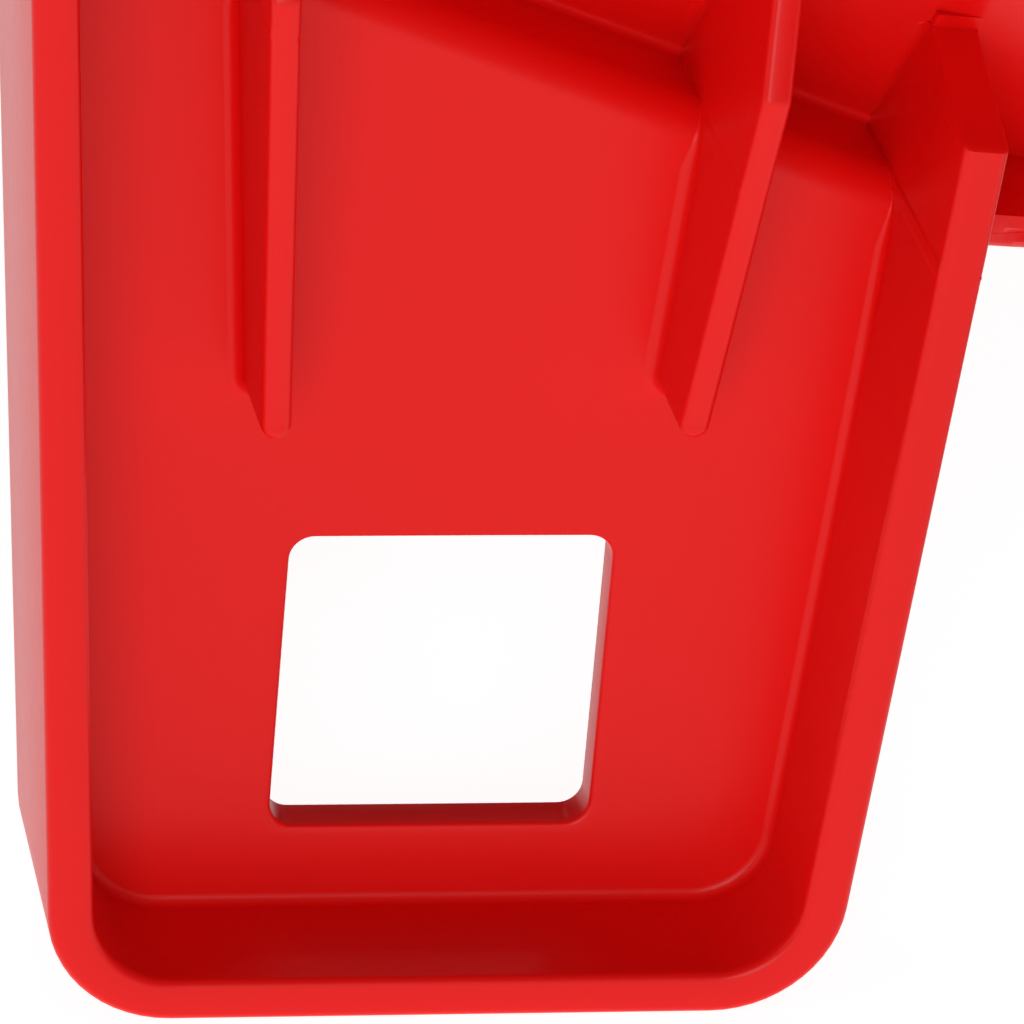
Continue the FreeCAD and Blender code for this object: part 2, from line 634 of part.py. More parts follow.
def lock_housing():
    """Block on the head that holds the lock barrel, with the ears of the cover's hinge."""
    block = box("-housing_wide / 2", "housing_wide / 2", "%s - housing_deep / 2" % LOCK_Y,
                "%s + housing_deep / 2" % LOCK_Y, "boss_top", HOUSING_TOP)
    corners = [((number("(%d) * housing_wide / 2" % x),
                 number("%s + (%d) * housing_deep / 2" % (LOCK_Y, y)), "0"),
                "housing_corner") for x in (-1, 1) for y in (-1, 1)]
    block = round_edges(block, Z, corners)
    ears = []
    for side in (-1, 1):
        span = ["(%d) * ear_start" % side, "(%d) * ear_end" % side][::side]
        ears.append(box(span[0], span[1], "%s + housing_deep / 2 - 2" % LOCK_Y, HINGE_Y,
                        "%s - hinge_barrel" % HINGE_Z, "%s" % HINGE_Z))
        ears.append(cylinder("hinge_barrel", "ear_end - ear_start", (span[0], HINGE_Y, HINGE_Z), X))
        ears.append(box(span[0], span[1], HINGE_Y, "%s + hinge_barrel / 2" % HINGE_Y,
                        "%s - hinge_barrel" % HINGE_Z, "%s" % HINGE_Z))
    roof = box("-housing_wide", "housing_wide", "%s - housing_deep" % LOCK_Y,
               "%s + housing_deep / 2 + cover_gap" % LOCK_Y, HOUSING_TOP, "%s + 20" % HOUSING_TOP)
    block = cut(fuse(block, *ears), roof)
    bore = cylinder("barrel_bore", "housing_tall", ("0", LOCK_Y, "boss_top"))
    screws = [cylinder("housing_screw + 2 * hole_fit", "housing_tall", (x, y, "boss_top"))
              for x, y in screw_spots()]
    sinks = [cylinder("housing_screw * 1.8", "housing_screw * 1.2",
                      (x, y, "%s - housing_screw * 1.2" % HOUSING_TOP))
             for x, y in screw_spots()]
    hinge = cylinder("hinge_pin", "2 * ear_end + 2", ("-ear_end - 1", HINGE_Y, HINGE_Z), X)
    side_pin = cylinder("travel_pin", "housing_deep / 2", ("0", LOCK_Y, TRAVEL_Z), Y)
    keep(cut(block, bore, *screws, *sinks, hinge, side_pin), "lock_housing")
    screw_set = []
    for x, y in screw_spots():
        head = cylinder("housing_screw * 1.7", "housing_screw",
                        (x, y, "%s - housing_screw * 1.2" % HOUSING_TOP))
        shank = cylinder("housing_screw", "housing_tall - housing_screw * 1.2 + screw_reach",
                         (x, y, "boss_top - screw_reach"))
        drive = hexagon("housing_screw * 0.8", "housing_screw",
                        (x, y, "%s - housing_screw * 0.7" % HOUSING_TOP))
        screw_set.append(cut(fuse(head, shank), drive))
    keep(group(*screw_set), "housing_screws")
    keep(cylinder("travel_pin", "housing_deep / 2 - barrel_bore / 2 + travel_slot_deep - 1.2",
                  ("0", "%s + barrel_bore / 2 - travel_slot_deep + 0.6" % LOCK_Y, TRAVEL_Z), Y), "travel_pin")
    keep(cylinder("hinge_pin", "2 * ear_end", ("-ear_end", HINGE_Y, HINGE_Z), X), "cover_hinge_pin")


TRAVEL_Z = "%s + 3.5" % BARREL_LOW


def lock_barrel():
    """Sliding barrel with its bolt, seal and turning plug."""
    body = cylinder("barrel_bore - 2 * barrel_fit", "barrel_tall", ("0", LOCK_Y, BARREL_LOW))
    socket = cylinder("lock_bolt", "lock_bolt_socket", ("0", LOCK_Y, BARREL_LOW))
    plug_way = cylinder("plug_width + 2 * barrel_fit", "plug_tall",
                        ("0", LOCK_Y, "%s - plug_tall" % BARREL_TOP))
    slot = box("-travel_pin / 2 - 0.3", "travel_pin / 2 + 0.3",
               "%s + barrel_bore / 2 - travel_slot_deep" % LOCK_Y,
               "%s + barrel_bore" % LOCK_Y, "%s - travel_pin / 2 - 0.4" % TRAVEL_Z,
               "%s + push_travel + travel_pin / 2 + 0.4" % TRAVEL_Z)
    groove_z = "%s - 4" % BARREL_TOP
    ring = cut(cylinder("2 * barrel_bore", "seal_wire", ("0", LOCK_Y, "%s - seal_wire / 2" % groove_z)),
               cylinder("barrel_bore - 2 * seal_wire - 2 * barrel_fit", "2 * seal_wire",
                        ("0", LOCK_Y, "%s - seal_wire" % groove_z)))
    keep(cut(body, socket, plug_way, slot, ring), "lock_barrel")
    seal = doc.addObject("Part::Torus", "Seal")
    seal.setExpression("Radius1", bind("barrel_bore / 2 - seal_wire / 2 - barrel_fit"))
    seal.setExpression("Radius2", bind("seal_wire / 2"))
    place(seal, ("0", LOCK_Y, groove_z))
    keep(seal, "barrel_seal")
    tip = "%s + lock_bolt_gap" % BAR_TOP
    bolt = cylinder("lock_bolt", "%s + lock_bolt_socket - (%s)" % (BARREL_LOW, tip), ("0", LOCK_Y, tip))
    keep(bolt, "locking_bolt")
    plug = cylinder("plug_width", "plug_tall - 0.3", ("0", LOCK_Y, "%s - plug_tall + 0.3" % BARREL_TOP))
    keyway = box("-keyway_wide / 2", "keyway_wide / 2", "%s - keyway_tall / 2" % LOCK_Y,
                 "%s + keyway_tall / 2" % LOCK_Y, "%s - keyway_deep" % BARREL_TOP, "%s + 1" % BARREL_TOP)
    keep(cut(plug, keyway), "lock_plug")


def plunger_spring():
    """Coil spring under the barrel, around the bolt."""
    low = number("boss_top + spring_fit + spring_wire / 2")
    high = number("%s - spring_fit - spring_wire / 2" % BARREL_LOW)
    radius = number("(spring_width - spring_wire) / 2")
    helix = Part.makeLongHelix((high - low) / number("spring_turns"), high - low, radius)
    start = FreeCAD.Vector(radius, 0, 0)
    section = Part.Wire(Part.makeCircle(number("spring_wire") / 2, start, Y))
    coil = Part.Wire(helix.Edges).makePipeShell([section], True, True)
    spring = doc.addObject("Part::Feature", "Spring")
    spring.Shape = coil
    spring.Placement = FreeCAD.Placement(FreeCAD.Vector(0, number(LOCK_Y), low), FreeCAD.Rotation())
    keep(spring, "plunger_spring")


def dust_cover():
    """Hinged weather cover over the lock."""
    low = "%s + cover_gap" % HOUSING_TOP
    plate = box("-housing_wide / 2", "housing_wide / 2", "%s - housing_deep / 2" % LOCK_Y,
                "%s + housing_deep / 2" % LOCK_Y, low, "%s + cover_wall" % low)
    corners = [((number("(%d) * housing_wide / 2" % x),
                 number("%s + (%d) * housing_deep / 2" % (LOCK_Y, y)), "0"),
                "housing_corner") for x in (-1, 1) for y in (-1, 1)]
    plate = round_edges(plate, Z, corners)
    lift = box("-housing_wide / 4", "housing_wide / 4", "%s - housing_deep / 2 - 3" % LOCK_Y,
               "%s - housing_deep / 2 + 4" % LOCK_Y, "%s + 1.5" % low, "%s + cover_wall" % low)
    neck = box("-knuckle_half", "knuckle_half", "%s + housing_deep / 2 - 4" % LOCK_Y, HINGE_Y,
               low, "%s + cover_wall" % low)
    knuckle = cylinder("hinge_barrel", "2 * knuckle_half", ("-knuckle_half", HINGE_Y, HINGE_Z), X)
    ear_room = [box(a, b, "%s + housing_deep / 2" % LOCK_Y, "%s + 30" % HINGE_Y,
                    "%s - 20" % low, "%s + 30" % low)
                for a, b in (("knuckle_half", "housing_wide"), ("-housing_wide", "-knuckle_half"))]
    pin_way = cylinder("hinge_pin + 2 * hinge_fit", "4 * ear_end", ("-2 * ear_end", HINGE_Y, HINGE_Z), X)
    keep(cut(fuse(plate, lift, neck, knuckle), *ear_room, pin_way), "dust_cover")


castings(jaw_shell())
crossbar()
head_bolts()
wheel_bars()
flange_bolts()
pads()
bushes()
lock_housing()
lock_barrel()
plunger_spring()
dust_cover()
doc.recompute()

for thing in doc.Objects:
    if "Invalid" in thing.State or "Error" in thing.State:
        raise SystemExit("failed: %s %s %s" % (thing.Name, thing.Label, thing.State))
for node in NODES:
    if node.Shape.isNull() or not node.Shape.isValid() or not node.Shape.Solids:
        raise SystemExit("bad shape: " + node.Label)

os.makedirs("parts", exist_ok=True)
for node in NODES:
    node.Shape.exportStep("parts/" + node.Label + ".step")
    print(node.Label, len(node.Shape.Solids), round(node.Shape.Volume, 1))
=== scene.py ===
import math
import bmesh
import bpy
import numpy as np
from mathutils import Matrix, Vector


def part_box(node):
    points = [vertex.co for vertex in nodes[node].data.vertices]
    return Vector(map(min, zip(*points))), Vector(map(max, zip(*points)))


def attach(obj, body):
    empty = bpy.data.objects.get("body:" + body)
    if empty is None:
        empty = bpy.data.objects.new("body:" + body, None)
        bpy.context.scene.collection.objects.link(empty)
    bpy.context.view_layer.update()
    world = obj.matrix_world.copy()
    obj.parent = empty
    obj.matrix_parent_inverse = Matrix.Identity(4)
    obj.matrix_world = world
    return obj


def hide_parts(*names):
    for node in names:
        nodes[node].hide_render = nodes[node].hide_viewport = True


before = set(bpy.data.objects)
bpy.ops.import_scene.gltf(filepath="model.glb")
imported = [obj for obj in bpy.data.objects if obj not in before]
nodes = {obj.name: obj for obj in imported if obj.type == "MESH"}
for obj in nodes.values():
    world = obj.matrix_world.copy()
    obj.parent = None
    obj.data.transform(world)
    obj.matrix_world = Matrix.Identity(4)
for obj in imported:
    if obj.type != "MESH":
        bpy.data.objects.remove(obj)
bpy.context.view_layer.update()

MM = 0.001

# ---- the castings' sizes in millimetres, in a frame whose Y = 0 is the legs' outer face ---------
LEG_AXIS = 66.0
FOOT_HALF = 36.3
TAPER = 0.078
RIM_WALL = 4.2
PLATE_WALL = 4.3
LIP_DEPTH = 10.5
LIP_LIMIT = 24.0
RIM_FRONT = 14.0
RIM_RISE = 0.04
PEAK = 18.0
RIM_PEAK_RUN = 9.1
RIM_END_RUN = 13.0
RIB_PEAK_RUN = 5.5
RIB_FALL = 1.0 / 3.0
BEND_HEIGHT = 96.2
LEAN = math.radians(20.5)
SLOPE = math.radians(39.0)
STEP_RUN = -3.2
STEP_BACK = 13.0
STEP_RADIUS = 3.5
SHOULDER_RISE = 30.0
SHOULDER_RADIUS = 12.0
RIDGE_RADIUS = 5.0
WINDOW_HALF = 15.0
WINDOW_CORNER = 2.3
WINDOW_HEIGHT = 27.6
RIB_SPREAD = 14.5
RIB_HALF = 1.4
RIB_LOW = 58.0
RIB_HIGH = 140.0
RIB_FRONT = 10.5
RIB_RISE = 0.2
LEDGE_HEIGHT = 71.5
LEDGE = 13.5
CROTCH_SHARE = 0.623
KNEE_HEIGHT = 122.0
HEAD_HALF = 40.0
HEAD_TOP = 297.0
FOOT_CORNER = 12.0
LEDGE_ROOT = 1.0
LEDGE_CORNER = 3.0
KNEE_RADIUS = 24.0
HEAD_CORNER = 14.0
EDGE_ROUND = 0.9
ROOT_ROUND = 1.0
RIB_ROOT = 1.3
RIB_CREST = 0.8
BACK_ROOT = 2.0
DRAFT = 0.02
STRIP_TOP = 95.5
# top of the flat panel round the window, from which the sheet's rows start
PANEL_TOP = 58.0
# how far a wall's foot overlaps the sheet, and the gap that keeps two faces from lying together
FACE_LAP = 0.08
FLUSH = 0.01
# the boss and its square bore round the crossbar, at the head
BOSS_MIDDLE = (0.0, 271.0)
BOSS_HALF = (24.0, 27.0)
BOSS_CORNER = 4.0
BOSS_FRONT = -40.0
BOSS_BACK = 8.0
BOSS_EDGE = 2.0
BORE_CORNER = 1.5
BORE_EDGE = 0.5
FRONT_BORE_HALF = 17.0
REAR_BORE_HALF = 14.0
# points in a rounded edge, and in a root cove, of the wall's section
EDGE_POINTS = 6
COVE_POINTS = 9
# columns of that section: rear edge of the outer face, root behind the sheet, rear lip
OUTER_LIP = slice(0, EDGE_POINTS)
REAR_ROOT = slice(3 * EDGE_POINTS + COVE_POINTS, 3 * EDGE_POINTS + 2 * COVE_POINTS)
INNER_LIP = slice(3 * EDGE_POINTS + 2 * COVE_POINTS, None)


# ---- mesh helpers ------------------------------------------------------------------------------

def grid_faces(rows, columns, wrap_rows, wrap_columns):
    """Quads over a grid of rows by columns, joined end to end where a direction wraps."""
    row = np.arange(rows if wrap_rows else rows - 1)
    column = np.arange(columns if wrap_columns else columns - 1)
    r, c = np.meshgrid(row, column, indexing="ij")
    r2, c2 = (r + 1) % rows, (c + 1) % columns
    corners = [r * columns + c, r * columns + c2, r2 * columns + c2, r2 * columns + c]
    return np.stack(corners, -1).reshape(-1, 4)


class Shell:
    """Gathers point grids in millimetres and makes one mesh of them."""

    def __init__(self):
        self.points = []
        self.faces = []
        self.count = 0

    def add(self, grid, wrap_rows=False, wrap_columns=True, cap=False):
        """Adds a grid of points shaped rows by columns by 3, with its end rows filled if capped."""
        rows, columns = grid.shape[:2]
        faces = [list(face) for face in grid_faces(rows, columns, wrap_rows, wrap_columns) + self.count]
        if cap:
            first = np.arange(columns) + self.count
            faces.append(list(first[::-1]))
            faces.append(list(first + (rows - 1) * columns))
        self.points.append(grid.reshape(-1, 3))
        self.faces += faces
        self.count += rows * columns

    def make(self, name, sharp=40.0, flip_y=False, shift=0.0):
        """Turns the gathered grids into an object, outward facing and smooth but for sharp edges."""
        points = np.concatenate(self.points).copy()
        if flip_y:
            points[:, 1] *= -1.0
        points[:, 1] += shift
        mesh = bpy.data.meshes.new(name)
        mesh.from_pydata((points * MM).tolist(), [], self.faces)
        work = bmesh.new()
        work.from_mesh(mesh)
        bmesh.ops.remove_doubles(work, verts=work.verts, dist=2e-6)
        bmesh.ops.dissolve_degenerate(work, edges=work.edges, dist=1e-6)
        bmesh.ops.recalc_face_normals(work, faces=work.faces)
        work.to_mesh(mesh)
        work.free()
        mesh.polygons.foreach_set("use_smooth", np.ones(len(mesh.polygons), bool))
        mesh.set_sharp_from_angle(angle=math.radians(sharp))
        piece = bpy.data.objects.new(name, mesh)
        bpy.context.collection.objects.link(piece)
        return piece


def arc(start, end, count):
    """Evenly spaced angles from start to end degrees, both included."""
    return np.radians(np.linspace(start, end, count))


def rounded_path(corners, radii, step=1.4, arc_step=7.0, closed=True):
    """Points and left-hand normals along a polygon whose corners are tangent arcs.

    A corner of turn t and radius r starts r tan(t/2) before its vertex; runs are divided evenly.
    """
    corners = np.array(corners, float)
    count = len(corners)
    ends = []
    for index in range(count):
        before, here, after = corners[index - 1], corners[index], corners[(index + 1) % count]
        if not closed and index in (0, count - 1):
            run = after - here if index == 0 else here - before
            run = run / np.linalg.norm(run)
            ends.append((here[None], np.array([[-run[1], run[0]]])))
            continue
        come = (here - before) / np.linalg.norm(here - before)
        leave = (after - here) / np.linalg.norm(after - here)
        turn = math.atan2(come[0] * leave[1] - come[1] * leave[0], come @ leave)
        side = math.copysign(1.0, turn)
        normal = np.array([-come[1], come[0]])
        centre = here - come * radii[index] * math.tan(abs(turn) / 2) + side * radii[index] * normal
        sweep = np.linspace(0.0, turn, max(3, int(abs(math.degrees(turn)) / arc_step) + 1) + 1)
        cos, sin = np.cos(sweep), np.sin(sweep)
        out = np.stack([normal[0] * cos - normal[1] * sin, normal[0] * sin + normal[1] * cos], -1)
        ends.append((centre - side * radii[index] * out, out))
    spots = []
    normals = []
    for index in range(count):
        here, normal = ends[index]
        spots.append(here)
        normals.append(normal)
        if not closed and index == count - 1:
            break
        following = ends[(index + 1) % count][0][0]
        pieces = int(np.linalg.norm(following - here[-1]) / step)
        if pieces > 1:
            share = np.linspace(0, 1, pieces + 1)[1:-1, None]
            spots.append(here[-1] * (1 - share) + following * share)
            normals.append(np.repeat(normal[-1:], pieces - 1, 0))
    return np.concatenate(spots), np.concatenate(normals)


def refine(points, normals, low, high, pieces):
    """Puts more points on the runs that cross between two distances up the slope."""
    v = run_up(*points.T)
    fine = (np.maximum(v[:-1], v[1:]) > low) & (np.minimum(v[:-1], v[1:]) < high)
    share = [np.linspace(0, 1, pieces + 1)[:-1] if flag else np.zeros(1) for flag in fine]
    index = np.concatenate([np.full(len(part), spot) for spot, part in enumerate(share)] + [[len(v) - 1]])
    index = index.astype(int)
    along = np.concatenate(share + [np.zeros(1)])[:, None]
    after = np.minimum(index + 1, len(v) - 1)
    return (points[index] * (1 - along) + points[after] * along,
            normals[index] * (1 - along) + normals[after] * along)


# ---- the folded sheet --------------------------------------------------------------------------

def run_up(x, z):
    """Distance up the slope of an arm, square to its bend line, for either mirrored half."""
    return (LEG_AXIS - np.abs(x)) * math.sin(LEAN) + (z - BEND_HEIGHT) * math.cos(LEAN)


def head_run(depth):
    """Where the slope meets the head's level, for a surface at a depth behind the front."""
    return STEP_RUN + (STEP_BACK + SHOULDER_RISE + depth / math.cos(SLOPE) - depth) / math.tan(SLOPE)


def upper(v, depth):
    """Y of the slope and of the head's level, with the tangent arc between them."""
    radius = max(SHOULDER_RADIUS - depth, 4.0)
    centre = head_run(depth) + radius * math.tan(SLOPE / 2)
    y = STEP_BACK - (v - STEP_RUN) * math.tan(SLOPE) + depth / math.cos(SLOPE)
    bend = depth - SHOULDER_RISE + radius - np.sqrt(radius ** 2 - np.clip(centre - v, 0, radius * 0.99) ** 2)
    y = np.where(v > centre - radius * math.sin(SLOPE), bend, y)
    return np.where(v > centre, depth - SHOULDER_RISE, y)


def front_y(v):
    """Y of the sheet's front: level, rounded over the step, back along it, then up the slope."""
    over = np.clip(v - (STEP_RUN - STEP_RADIUS), 0, STEP_RADIUS)
    return np.where(v < STEP_RUN, STEP_RADIUS - np.sqrt(STEP_RADIUS ** 2 - over ** 2), upper(v, 0.0))


def back_y(v):
    """Y of the sheet's rear face."""
    return np.where(v < STEP_RUN - PLATE_WALL, PLATE_WALL, upper(v, PLATE_WALL))


def lip_y(v):
    """Y of the rear edge of the outer wall, which stays shallow behind the step."""
    return np.where(v < STEP_RUN - PLATE_WALL - 3.1, LIP_DEPTH, np.minimum(upper(v, LIP_DEPTH), LIP_LIMIT))


def profile(depth, v_end):
    """Points of the sheet's section from the foot's level to the head, as v and Y.

    The corners are the foot's level, the edge of the step, the bottom of the step, the top of the
    slope and the head's level, each with its tangent arc.
    """
    edge = STEP_RUN - depth
    deep = STEP_BACK + depth * (math.tan(SLOPE) + 1 / math.cos(SLOPE))
    corners = [(-20.0, depth), (edge, depth), (edge, deep), (head_run(depth), depth - SHOULDER_RISE),
               (v_end, depth - SHOULDER_RISE)]
    front = depth == 0
    radii = [0, STEP_RADIUS if front else 0.5, 0.7 if front else RIDGE_RADIUS,
             SHOULDER_RADIUS if front else SHOULDER_RADIUS - depth, 0]
    rows = []
    counts = (8, 5, 22, 40)
    for index in range(1, 4):
        before, here, after = (np.array(corners[spot]) for spot in (index - 1, index, index + 1))
        come = (here - before) / np.linalg.norm(here - before)
        leave = (after - here) / np.linalg.norm(after - here)
        turn = math.atan2(come[0] * leave[1] - come[1] * leave[0], come @ leave)
        side = math.copysign(1.0, turn)
        reach = radii[index] * math.tan(abs(turn) / 2)
        normal = side * np.array([-come[1], come[0]])
        centre = here - come * reach + radii[index] * normal
        sweep = np.linspace(0, turn, 13)
        cos, sin = np.cos(sweep), np.sin(sweep)
        out = np.stack([normal[0] * cos - normal[1] * sin, normal[0] * sin + normal[1] * cos], -1)
        curve = centre - radii[index] * out
        start = np.array(corners[0]) if index == 1 else rows[-1][-1]
        share = np.linspace(0, 1, counts[index - 1] + 1)[(0 if index == 1 else 1):-1, None]
        rows.append(start * (1 - share) + curve[0] * share)
        rows.append(curve)
    share = np.linspace(0, 1, counts[3] + 1)[1:, None]
    rows.append(rows[-1][-1] * (1 - share) + np.array(corners[4]) * share)
    return np.concatenate(rows)


def rim_top(x, z, front):
    """Y of the top of the outer wall: it leans forward, then falls steeply on to the slope."""
    v = run_up(x, z)
    drop = (PEAK + upper(np.array(RIM_END_RUN), 0.0)) / (RIM_END_RUN - RIM_PEAK_RUN)
    level = np.maximum(-(RIM_FRONT + RIM_RISE * z), -PEAK + (v - RIM_PEAK_RUN) * drop)
    return np.minimum(level, front - 0.01)


def rib_top(x, z, front):
    """Y of the top of a rib: it leans forward, then falls gently into the slope."""
    fall = -PEAK + (run_up(x, z) - RIB_PEAK_RUN) * RIB_FALL
    return np.minimum(np.maximum(-(RIB_FRONT + RIB_RISE * (z - RIB_LOW)), fall), front - 0.01)


# ---- outline of a jaw --------------------------------------------------------------------------

def inner_edge(z):
    """X of the edge of the left leg that faces the other leg."""
    return -(LEG_AXIS - FOOT_HALF - TAPER * z)


TIP_X = inner_edge(LEDGE_HEIGHT)
CROTCH_Z = LEDGE_HEIGHT - 1 - (TIP_X + LEDGE) / math.tan(LEAN)
CROTCH_RADIUS = -CROTCH_SHARE * (TIP_X + LEDGE)
FOOT = [(-(LEG_AXIS + FOOT_HALF), 0.0), (-(LEG_AXIS - FOOT_HALF), 0.0)]
LEDGE_LINE = [(TIP_X, LEDGE_HEIGHT), (TIP_X + LEDGE, LEDGE_HEIGHT - 1), (0.0, CROTCH_Z)]
OUTER = [(LEG_AXIS + FOOT_HALF + TAPER * KNEE_HEIGHT, KNEE_HEIGHT), (HEAD_HALF, HEAD_TOP)]
OUTER_RADII = [KNEE_RADIUS, HEAD_CORNER, HEAD_CORNER, KNEE_RADIUS]
FOOT_RADII = [FOOT_CORNER, FOOT_CORNER]


def mirrored(corners):
    """Corners of the other half, in the opposite order."""
    return [(-x, z) for x, z in corners[::-1]]


def full_outline():
    """Rounded outline of the whole sheet, anticlockwise, with inward normals."""
    corners = FOOT + LEDGE_LINE + mirrored(FOOT + LEDGE_LINE[:2]) + OUTER + mirrored(OUTER)
    radii = (FOOT_RADII + [LEDGE_ROOT, LEDGE_CORNER, CROTCH_RADIUS, LEDGE_CORNER, LEDGE_ROOT]
             + FOOT_RADII + OUTER_RADII)
    return rounded_path(corners, radii)


def wall_line():
    """Line of the outer wall: up over the head from the top of one inner edge to the other."""
    start = [(-inner_edge(STRIP_TOP), STRIP_TOP)]
    corners = start + mirrored(FOOT) + OUTER + mirrored(OUTER) + FOOT + mirrored(start)
    radii = [0] + FOOT_RADII + OUTER_RADII + FOOT_RADII + [0]
    points, normals = rounded_path(corners, radii, closed=False)
    return refine(points, normals, STEP_RUN - 5, RIM_END_RUN + 2, 6)


def section(levels, wall, root, back_root, edge, front_edge, draft):
    """Closed section of an edge wall at every path point, as inset and Y arrays.

    Rounded rear edge, outer face, rounded front edge, flat top, rounded inner edge, drafted inner
    face, root cove that ends tangent to the sheet, then the same behind the sheet.
    """
    top, front, back, lip = [level[:, None] for level in levels]
    tall = front - top
    inner = np.minimum(edge, tall * 0.4)
    cove = np.minimum(root, tall * 0.55)
    foot = wall + draft * tall
    behind = np.clip((lip - back) * 0.4, 0.0, 1.0)
    rear = edge * behind
    base = back_root * behind
    tight, wide = arc(0, 90, EDGE_POINTS)[None], arc(0, 90, COVE_POINTS)[None]
    cos, sin = np.cos(tight), np.sin(tight)
    wide_cos, wide_sin = np.cos(wide), np.sin(wide)
    parts = [
        (rear - rear * sin, lip - rear + rear * cos),
        (front_edge - front_edge * cos, top + front_edge - front_edge * sin),
        (wall - inner + inner * sin, top + inner - inner * cos),
        (foot + cove - cove * wide_cos, front - cove + cove * wide_sin),
        (wall + base - base * wide_sin, back + base - base * wide_cos),
        (wall - rear + rear * cos, lip - rear + rear * sin),
    ]
    blank = np.ones((len(top), 1))
    return tuple(np.concatenate([part[index] * blank for part in parts], 1) for index in (0, 1))


def near_step(v):
    """Share of a root cove's radius that is left close to the step, as a column."""
    return np.clip(np.abs(v - STEP_RUN) / 5.0, 0.1, 1.0)[:, None]


def carry(shell, points, normals, levels, sizes):
    """Carries the edge section along a path, its foot and lip following the sheet at each point.

    Where the sheet's rear root lies behind the wall's foot by more than 2 mm, the rear faces follow
    the sheet's own rear faces; elsewhere they keep to the front.
    """
    inset, depth = section(levels, *sizes)
    top, front, back, lip = [level[:, None] for level in levels]
    grid = np.empty(inset.shape + (3,))
    grid[..., 0] = points[:, 0:1] + normals[:, 0:1] * inset
    grid[..., 2] = points[:, 1:2] + normals[:, 1:2] * inset
    v = run_up(grid[..., 0], grid[..., 2])
    shift = (front_y(v) - front) * np.clip((depth - top) / np.maximum(front - top, 0.02), 0, 1)
    whole = back - front > 2
    shift[:, REAR_ROOT] = np.where(whole, back_y(v) - back, shift)[:, REAR_ROOT]
    for columns in (OUTER_LIP, INNER_LIP):
        shift[:, columns] = np.where(whole, lip_y(v) - lip, shift)[:, columns]
    grid[..., 1] = depth + shift
    shell.add(grid, cap=True)


def add_walls(shell):
    """The wall along the legs' edges and round the head, and the plain edge of the crotch."""
    points, normals = wall_line()
    x, z = points.T
    v = run_up(x, z)
    front = front_y(v)
    top = rim_top(x, z, front)
    within = (np.abs(x) < -TIP_X + 3) & (z > LEDGE_HEIGHT) & (z < HEAD_TOP - 100)
    back = np.where(within, front + 1.5, back_y(v))
    lip = np.where(within, front + 1.6, lip_y(v))
    root = ROOT_ROUND * near_step(v)
    edge = np.where(within, np.minimum(EDGE_ROUND, (front - top) * 0.4), EDGE_ROUND)[:, None]
    carry(shell, points, normals, (top, front, back, lip),
          (RIM_WALL, root, BACK_ROOT, EDGE_ROUND, edge, DRAFT))
    start = [(TIP_X - 2.5, LEDGE_HEIGHT + 0.25)]
    corners = start + LEDGE_LINE[1:] + mirrored(start + LEDGE_LINE[1:2])
    radii = [0, LEDGE_CORNER, CROTCH_RADIUS, LEDGE_CORNER, 0]
    points, normals = rounded_path(corners, radii, closed=False)
    points, normals = refine(points, normals, STEP_RUN - 5, STEP_RUN + 1, 6)
    v = run_up(*points.T)
    front = front_y(v)
    carry(shell, points, normals, (front - FLUSH, front, back_y(v), lip_y(v)),
          (RIM_WALL, ROOT_ROUND, BACK_ROOT, EDGE_ROUND, 3.0, 0.0))


def add_rib(shell, axis, side):
    """A stiffening rib: its rounded plan outline swept from a root cove up to a rounded crest."""
    low = np.array([axis + side * (RIB_SPREAD + TAPER * RIB_LOW), RIB_LOW + RIB_HALF])
    high = np.array([axis + side * (RIB_SPREAD + TAPER * RIB_HIGH), RIB_HIGH])
    along = (high - low) / np.linalg.norm(high - low)
    across = np.array([-along[1], along[0]])
    line = low + (high - low) * np.linspace(0, 1, 260)[:, None]
    turn = arc(0, 180, 17)[:, None]
    spine = np.concatenate([line, np.repeat(high[None], 17, 0), line[::-1], np.repeat(low[None], 17, 0)])
    outward = np.concatenate([
        np.repeat(-across[None], len(line), 0), np.sin(turn) * along - np.cos(turn) * across,
        np.repeat(across[None], len(line), 0), np.cos(turn) * across - np.sin(turn) * along])
    x, z = spine.T
    front = front_y(run_up(x, z))
    top = rib_top(x, z, front)
    tall = (front - top)[:, None]
    cove = np.minimum(RIB_ROOT * near_step(run_up(x, z)), tall * 0.5)
    crest = np.minimum(RIB_CREST, tall * 0.3)
    wide, tight = arc(0, 90, COVE_POINTS)[None], arc(0, 90, EDGE_POINTS)[None]
    centre_line = np.zeros_like(tall)
    draft = DRAFT * np.minimum(tall, 12.0)
    reach = np.concatenate([RIB_HALF + draft + cove - cove * np.sin(wide),
                            RIB_HALF - crest + crest * np.cos(tight), centre_line], 1)
    rise = np.concatenate([cove - cove * np.cos(wide), tall - crest + crest * np.sin(tight), tall], 1)
    grid = np.empty(reach.shape + (3,))
    grid[..., 0] = x[:, None] + outward[:, 0:1] * reach
    grid[..., 2] = z[:, None] + outward[:, 1:2] * reach
    base = front_y(run_up(grid[..., 0], grid[..., 2]))
    blend = np.clip(1 - rise / np.maximum(tall, 0.02), 0, 1)
    grid[..., 1] = front[:, None] - rise + (base - front[:, None]) * blend
    sunk = grid[:, :1].copy()
    sunk[..., 1] += 1.0
    middle = np.stack([x, front + 1.0, z], -1)[:, None]
    shell.add(np.concatenate([middle, sunk, grid], 1), wrap_rows=True, wrap_columns=False)


